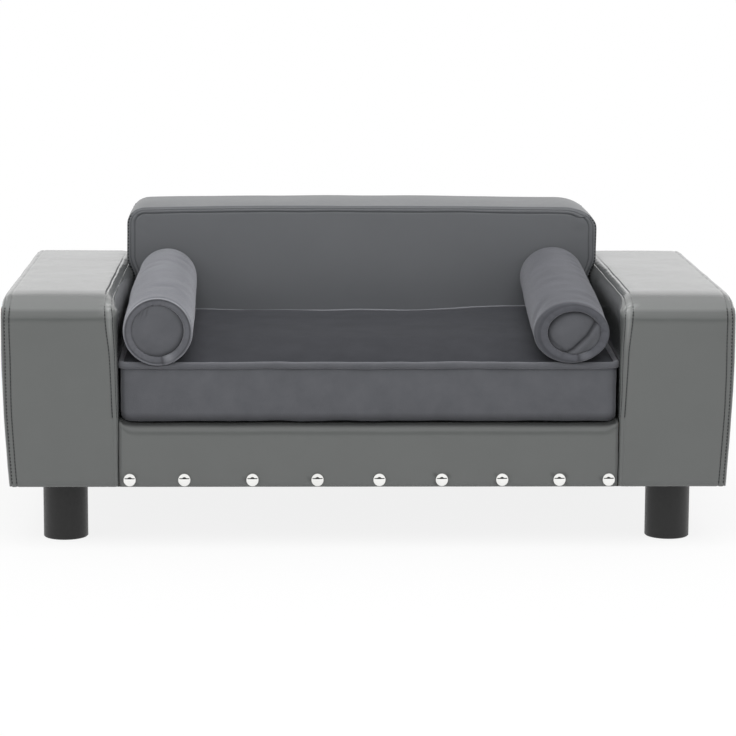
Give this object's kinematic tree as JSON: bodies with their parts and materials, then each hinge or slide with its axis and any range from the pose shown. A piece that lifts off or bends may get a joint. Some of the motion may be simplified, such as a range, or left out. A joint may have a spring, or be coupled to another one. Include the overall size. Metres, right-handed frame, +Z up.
{
  "type": "dog sofa bed",
  "caption": "Small box-arm sofa for a pet: faux-leather frame on round legs, loose plush seat cushion, two loose bolsters, nail trim.",
  "frame": {"origin": "on the floor, under the middle of the sofa's overall box", "axes": "+X to the right of someone facing the sofa's front, +Y from the front to the back, +Z up"},
  "size_m": [0.81, 0.4596, 0.35],
  "materials": {
    "faux_leather": "fine-grained grey polyurethane faux leather, satin",
    "plush": "short-pile grey polyester plush, matt with a soft sheen",
    "leg_plastic": "black moulded plastic, matt",
    "nail_chrome": "bright chrome-plated steel",
    "zinc_steel": "zinc-plated steel",
    "zip_metal": "dark nickel-plated zinc casting",
    "zip_nylon": "dark grey nylon coil on woven tape",
    "foam": "off-white open-cell foam",
    "fibre_fill": "white polyester fibre filling",
    "plywood": "unfinished poplar plywood",
    "pine": "planed pine, unfinished",
    "hardboard": "brown hardboard",
    "nonwoven": "black spunbond non-woven cloth",
    "felt": "dark grey pressed felt"
  },
  "bodies": {
    "frame": {"back_bottom_board": "plywood", "back_cover": "faux_leather", "back_foam": "foam", "back_front_panel": "hardboard", "back_rear_panel": "hardboard", "back_ribs": "plywood", "back_top_board": "plywood", "corner_blocks": "pine", "deck_rear_cleat": "pine", "deck_screws": "zinc_steel", "deck_side_cleats": "pine", "dust_cover": "nonwoven", "frame_bolts": "zinc_steel", "front_left_leg": "leg_plastic", "front_rail_board": "pine", "front_rail_cover": "faux_leather", "front_rail_foam": "foam", "front_right_leg": "leg_plastic", "left_arm_base_board": "plywood", "left_arm_cover": "faux_leather", "left_arm_foam": "foam", "left_arm_front_board": "plywood", "left_arm_inner_panel": "plywood", "left_arm_outer_panel": "plywood", "left_arm_rear_board": "plywood", "left_arm_top_board": "plywood", "leg_glides": "felt", "leg_studs": "zinc_steel", "leg_tnuts": "zinc_steel", "rail_nails": "nail_chrome", "rear_left_leg": "leg_plastic", "rear_right_leg": "leg_plastic", "right_arm_base_board": "plywood", "right_arm_cover": "faux_leather", "right_arm_foam": "foam", "right_arm_front_board": "plywood", "right_arm_inner_panel": "plywood", "right_arm_outer_panel": "plywood", "right_arm_rear_board": "plywood", "right_arm_top_board": "plywood", "seat_deck_board": "plywood", "seat_deck_lining": "nonwoven"},
    "seat_cushion": {"seat_cushion_boxing": "plush", "seat_cushion_core": "foam", "seat_cushion_top_panel": "plush", "seat_cushion_welt": "plush", "seat_zip_chain": "zip_nylon"},
    "left_bolster": {"left_bolster_core": "fibre_fill", "left_bolster_front_cap": "plush", "left_bolster_rear_cap": "plush", "left_bolster_sleeve": "plush"},
    "right_bolster": {"right_bolster_core": "fibre_fill", "right_bolster_front_cap": "plush", "right_bolster_rear_cap": "plush", "right_bolster_sleeve": "plush"},
    "zip_slider": {"seat_zip_slider": "zip_metal"}
  },
  "joints": [
    {"name": "seat_cushion_lift", "type": "slide", "parent": "frame", "child": "seat_cushion", "axis": [0, 0, 1], "range_m": [0, 0.25]},
    {"name": "left_bolster_lift", "type": "slide", "parent": "seat_cushion", "child": "left_bolster", "axis": [0, 0, 1], "range_m": [0, 0.2]},
    {"name": "right_bolster_lift", "type": "slide", "parent": "seat_cushion", "child": "right_bolster", "axis": [0, 0, 1], "range_m": [0, 0.2]},
    {"name": "seat_zip_run", "type": "slide", "parent": "seat_cushion", "child": "zip_slider", "axis": [1, 0, 0], "range_m": [0, 0.3885]}
  ]
}
